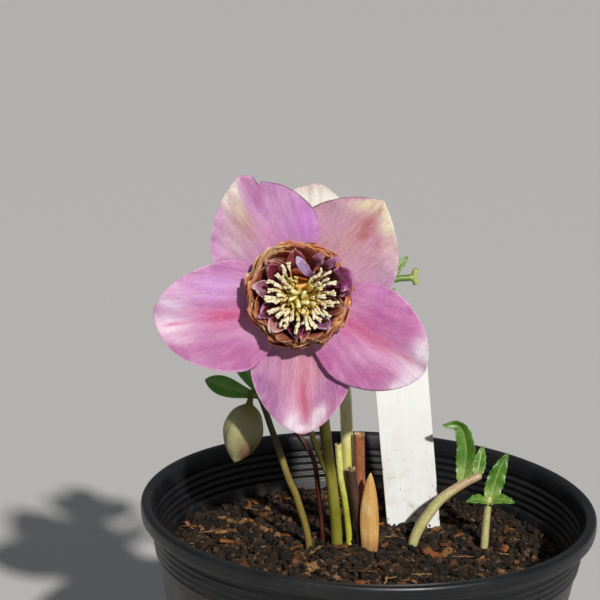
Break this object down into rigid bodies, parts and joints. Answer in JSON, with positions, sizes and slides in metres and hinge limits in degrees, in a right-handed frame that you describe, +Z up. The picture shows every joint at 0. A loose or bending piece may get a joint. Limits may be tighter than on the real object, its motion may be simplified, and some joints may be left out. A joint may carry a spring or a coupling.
{
  "type": "potted hellebore",
  "caption": "Hellebore plant in flower, a mauve open bloom with a ruffled centre, a pale bloom behind it and a nodding bud, in a round black nursery pot of soil with a blank plant label.",
  "frame": {"origin": "middle of the pot's underside", "axes": "+Z up, -Y the side that the main bloom faces, +X to the right seen from that side"},
  "size_m": [0.123, 0.123, 0.1909],
  "materials": {
    "black_plastic": "satin",
    "soil": "matte",
    "white_label": "satin",
    "stem_olive": "satin",
    "sepal_mauve": "matte",
    "nectary_rust": "satin",
    "petaloid_purple": "satin",
    "anther_cream": "matte",
    "carpel_yellow": "satin",
    "stem_pale_green": "satin",
    "sepal_cream": "matte",
    "nectary_green": "satin",
    "back_anther": "matte",
    "bud_cream_green": "satin",
    "bract_green": "satin",
    "stalk_red_brown": "satin",
    "stub_pale": "matte",
    "stub_dark": "matte",
    "stub_rusty": "matte",
    "sheath_tan": "matte",
    "young_leaf_green": "satin"
  },
  "bodies": {
    "root": {"pot": "black_plastic", "soil": "soil", "plant_label": "white_label", "main_stem": "stem_olive", "sepal_top_left": "sepal_mauve", "sepal_top_right": "sepal_mauve", "sepal_right": "sepal_mauve", "sepal_bottom": "sepal_mauve", "sepal_left": "sepal_mauve", "nectary_ruff": "nectary_rust", "petaloids": "petaloid_purple", "stamens": "anther_cream", "carpels": "carpel_yellow", "back_stem": "stem_pale_green", "back_sepal_top": "sepal_cream", "back_sepal_left": "sepal_cream", "back_sepal_right": "sepal_cream", "back_sepal_low_left": "sepal_cream", "back_sepal_low_right": "sepal_cream", "back_nectaries": "nectary_green", "back_stamens": "back_anther", "bud_stem": "bract_green", "bud": "bud_cream_green", "red_stalk": "stalk_red_brown", "stub_pale": "stub_pale", "stub_dark": "stub_dark", "stub_rusty": "stub_rusty", "sheath": "sheath_tan", "young_leaf": "young_leaf_green", "young_leaf_right": "young_leaf_green"}
  },
  "joints": []
}
